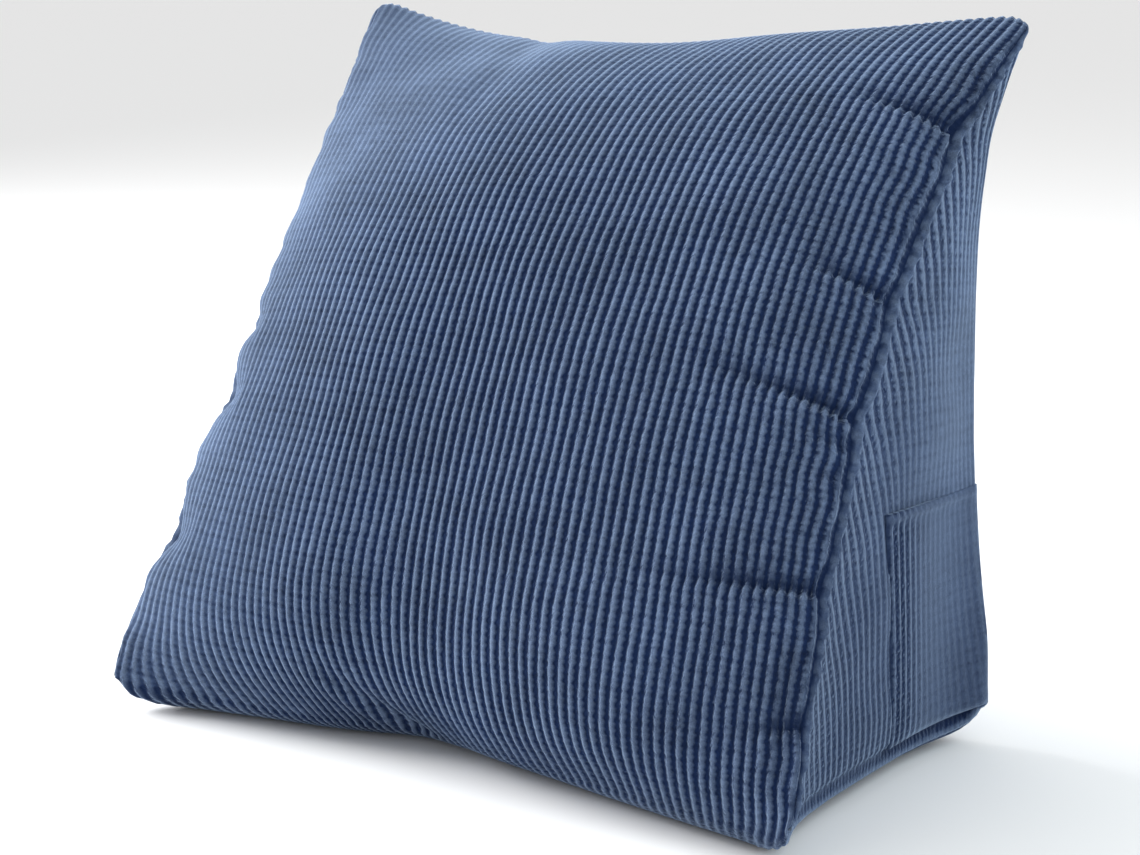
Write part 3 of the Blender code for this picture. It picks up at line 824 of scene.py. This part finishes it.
# Normals are read just inside a panel's seams, and at a sharp seam the relief grows only so far.
INSIDE, INSIDE_FOOT, INSIDE_FRONT_FOOT, SQUARE_LEAST = 0.996, 0.004, 0.0008, 0.6
place = np.zeros_like(flat)
normals = np.zeros_like(flat)
relief = np.zeros(len(flat))
shade = np.zeros(len(flat))
ribbed = np.zeros(len(flat))
panels_here = np.zeros(len(flat))
for panel in (FRONT, BACK, BASE, LEFT, RIGHT):
    mine = np.zeros(len(flat), bool)
    mine[corner[corner_panel == panel]] = True
    x, y, z = flat[mine].T
    rib_shade = np.ones_like(x)
    if panel in (FRONT, BACK):
        form, hint = (smooth_front, (0, -1, 0.5)) if panel == FRONT else (back_form, (0, 1, 0))
        a, b = 2 * x / WIDTH, z / HEIGHT
        length = FRONT_LENGTH if panel == FRONT else HEIGHT
        measure = front_relief if panel == FRONT else back_relief
        across = (x + WIDTH / 2) / RIB_PITCH
        out, dark, rib_shade = measure(x, b * length, across, b * ROWS / 2)
    elif panel == BASE:
        form, hint = smooth_base, (0, -0.2, -1)
        drawn = lean(y, 0 * y) * np.clip(1 - (WIDTH / 2 - np.abs(x)) / LEAN_UNDER, 0, 1)
        a, b = 2 * x / WIDTH, (y + drawn + DEPTH / 2) / DEPTH
        kernels = -(y + DEPTH / 2) / KERNEL_PITCH
        out, dark = base_relief(a, b, (x + WIDTH / 2) / RIB_PITCH, kernels)
    else:
        side = -1 if panel == LEFT else 1
        form, hint = side_form(side), (side, 0, 0)
        a, b = y + lean(y, z), z / HEIGHT
        kernels = z / KERNEL_PITCH
        out, dark, rib_shade = side_relief(a, z, (y + DEPTH / 2) / RIB_PITCH, kernels, side == 1)
    settled_here = form(a, b)
    if panel in (FRONT, BACK, BASE):
        low = INSIDE_FOOT if panel == BACK else INSIDE_FRONT_FOOT
        normal = outward(form, np.clip(a, -INSIDE, INSIDE), np.clip(b, low, INSIDE), hint)
    else:
        normal = outward(form, a, np.clip(b, INSIDE_FOOT, INSIDE), hint)
    place[mine] += settled_here
    normals[mine] += normal
    relief[mine] += out
    shade[mine] += dark
    ribbed[mine] += rib_shade
    panels_here[mine] += 1
place /= panels_here[:, None]
relief /= panels_here
square = np.linalg.norm(normals, axis=1) / panels_here
normals /= (square * panels_here)[:, None]
settled = place + normals * (relief / np.clip(square, SQUARE_LEAST, 1))[:, None]
settled = blunt_corners(settled)
settled[:, 2] = np.clip(settled[:, 2], 0, None)
cushion = finish_cloth(cushion_mesh, settled, cloth_map, shade / panels_here, ribbed / panels_here)
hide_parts("cushion")


# The side pocket: one flat patch of the same cord over the lower back of the right side. Its mouth
# is hemmed, its front edge is stitched down, and the back and base seams hold its other two edges.
# It lies flat on the side, with its ribs upright, deeper near its front edge.
POCKET_REST, POCKET_CLOTH, POCKET_MARGIN = -0.0012, 0.0023, 0.0026
POCKET_COLUMNS, POCKET_ROWS = 72, 44
# The hem: the cuts below the mouth, its place and width, how high it rolls, its twisted thread, how
# plain it is between the ribs, and the shadow below it.
HEM_CUTS = (0.0012, 0.0028, 0.0046, 0.0062)
HEM_AT, HEM_WIDTH, HEM_ROLL, HEM_TWIST = 0.0032, 0.0026, 0.0012, 0.0003
TWIST_ACROSS, TWIST_UP = 0.0042, 0.006
HEM_SMOOTH, HEM_PLAIN, HEM_DARK, HEM_DARK_AT, HEM_DARK_WIDTH = 0.8, 0.75, 0.3, 0.0072, 0.0012
# Where the deeper ribs are, behind the front edge, the ribs' depth elsewhere and there, and how
# ribbed the cloth looks elsewhere, there and right at the edge.
DEEP_AT, DEEP_REACH, FLAT_RIBS, DEEP_RIBS = 0.007, 0.023, 0.12, 0.70
FLAT_RIBBED, DEEP_RIBBED, FRONT_RIBBED, FRONT_RIBBED_REACH = 0.20, 0.75, 0.45, 0.004
# How the cloth thins towards its stitched edges, the least that it stands off the side, and the
# width of the shadow at its foot.
EDGE_REACH, EDGE_SHARE, EDGE_LEAST = 0.0042, 0.2, 0.0001
PATCH_FOOT_DARK = 0.0016
patch = bmesh.new()
pocket_run = Vector((0, POCKET_COLUMNS * SIDE_STEP, 0))
pocket_rise = Vector((0, 0, POCKET_TOP - POCKET_MARGIN))
pocket_start = Vector((WIDTH / 2, POCKET_FROM, POCKET_MARGIN))
sheet = lay_grid(patch, POCKET_COLUMNS, POCKET_ROWS, pocket_start, pocket_run, pocket_rise, 0)
back_line = BACK_FOOT + half - Vector((0, POCKET_MARGIN, 0))
sheet = slice_faces(patch, sheet, back_line, (0, HEIGHT, DEPTH - SETBACK), clear=True)
for below in HEM_CUTS:
    foot = Vector((0, 0, POCKET_TOP - below))
    sheet = slice_faces(patch, sheet, foot, (0, 0, 1))
outer = bmesh.ops.extrude_face_region(patch, geom=list(patch.faces), use_keep_orig=True)
bmesh.ops.translate(
    patch,
    vec=(0.01, 0, 0),
    verts=[item for item in outer["geom"] if isinstance(item, bmesh.types.BMVert)],
)
bmesh.ops.recalc_face_normals(patch, faces=patch.faces)
pocket_mesh, flat, corner, _ = flat_mesh("pocket_patch", patch)
x, y, z = flat[corner].T
cloth_map = np.stack([(y + DEPTH / 2) / RIB_PITCH, z / KERNEL_PITCH], -1)
x, y, z = flat.T
on_top = x > WIDTH / 2 + 0.005
from_back = DEPTH / 2 + (SETBACK - DEPTH) * z / HEIGHT - y
from_edge = np.minimum(y - POCKET_FROM, np.minimum(from_back, z) - POCKET_MARGIN)
from_mouth = POCKET_TOP - z
near_front = bump(y - POCKET_FROM - DEEP_AT, DEEP_REACH)
deeper = FLAT_RIBS + DEEP_RIBS * near_front
hem = bump(from_mouth - HEM_AT, HEM_WIDTH)
twist = np.sin(2 * np.pi * (y / TWIST_ACROSS + z / TWIST_UP))
height = ribs((y + DEPTH / 2) / RIB_PITCH, z / KERNEL_PITCH, RIB_HEIGHT * deeper)
height = height * (1 - HEM_SMOOTH * hem)
height = height + hem * (HEM_ROLL + HEM_TWIST * twist)
height = height + POCKET_REST + POCKET_CLOTH
height = height * np.clip(from_edge / EDGE_REACH, EDGE_SHARE, 1)
height = np.where(on_top, np.clip(height, EDGE_LEAST, None), POCKET_REST)
form = side_form(1)
normal = outward(form, y, z / HEIGHT, (1, 0, 0))
settled = blunt_corners(form(y, z / HEIGHT) + normal * height[:, None])
# The pocket takes the sides' painted shade of the foot in full, and a painted shadow below its hem.
shade = PAINTED_FOOT_SHADE + HEM_DARK * bump(from_mouth - HEM_DARK_AT, HEM_DARK_WIDTH)
shade = np.maximum(shade, SIDE_SEAM_DARK * bump(z - POCKET_MARGIN, PATCH_FOOT_DARK))
ribbed = (FLAT_RIBBED + DEEP_RIBBED * near_front) * (1 - HEM_PLAIN * hem)
ribbed = ribbed * np.clip(FRONT_RIBBED + (y - POCKET_FROM) / FRONT_RIBBED_REACH, 0, 1)
pocket = finish_cloth(pocket_mesh, settled, cloth_map, shade, ribbed)
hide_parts("side_pocket")


# The studio: a pale floor and soft light, mostly from the left, with some from behind on the right.
FLOOR_SIZE = 60.0
paving = bmesh.new()
bmesh.ops.create_grid(paving, x_segments=1, y_segments=1, size=FLOOR_SIZE / 2)
floor_mesh = bpy.data.meshes.new("floor")
paving.to_mesh(floor_mesh)
paving.free()
floor = bpy.data.objects.new("floor", floor_mesh)
bpy.context.scene.collection.objects.link(floor)
PALE = (0.93, 0.93, 0.93, 1)
paper = Weave(bpy.data.materials.new("paper")).finish(Base_Color=PALE, Roughness=0.9)
floor_mesh.materials.append(paper)

PILLOW_CENTRE = Vector((0, 0.02, 0.18))


def soft_box(name, place, size, power, colour):
    lamp = bpy.data.lights.new(name, "AREA")
    lamp.shape = "SQUARE"
    lamp.size = size
    lamp.energy = power
    lamp.color = colour
    box = bpy.data.objects.new(name, lamp)
    box.location = place
    box.rotation_euler = (PILLOW_CENTRE - Vector(place)).to_track_quat("-Z", "Y").to_euler()
    bpy.context.scene.collection.objects.link(box)


soft_box("key", (-2.0, -0.25, 1.15), 1.5, 84, (1, 1, 1))
soft_box("side", (1.6, 0.35, 1.4), 1.6, 18, (0.82, 0.95, 1))

room = Weave(bpy.data.worlds.new("studio"), "Background")
way_in = room.node("ShaderNodeTexCoord", output=0)
along_x = room.node("ShaderNodeSeparateXYZ", None, way_in)
along_y = room.node("ShaderNodeSeparateXYZ", None, way_in, output=1)
to_backdrop = along_y * 0.40 - along_x * 0.40 + 0.50
bpy.context.scene.world = room.finish(
    Color=room.node("ShaderNodeValToRGB", None, to_backdrop, stops=(
        (0.05, (0.45, 0.45, 0.45, 1)),
        (0.60, (1, 1, 1, 1)),
    )),
    Strength=1.0,
)
bpy.context.scene.view_settings.view_transform = "Standard"


# The camera: a little above the pillow and to its right, as in the photograph.
AZIMUTH, ELEVATION, DISTANCE = np.radians(33.97), np.radians(11.85), 1.413
AIM = Vector((0.0176, 0, 0.1783))
LENS = 79.7
way = Vector((
    float(np.sin(AZIMUTH) * np.cos(ELEVATION)),
    float(-np.cos(AZIMUTH) * np.cos(ELEVATION)),
    float(np.sin(ELEVATION)),
))
camera_data = bpy.data.cameras.new("camera")
camera_data.lens = LENS
camera = bpy.data.objects.new("camera", camera_data)
camera.location = AIM + way * DISTANCE
camera.rotation_euler = way.to_track_quat("Z", "Y").to_euler()
bpy.context.scene.collection.objects.link(camera)
bpy.context.scene.camera = camera
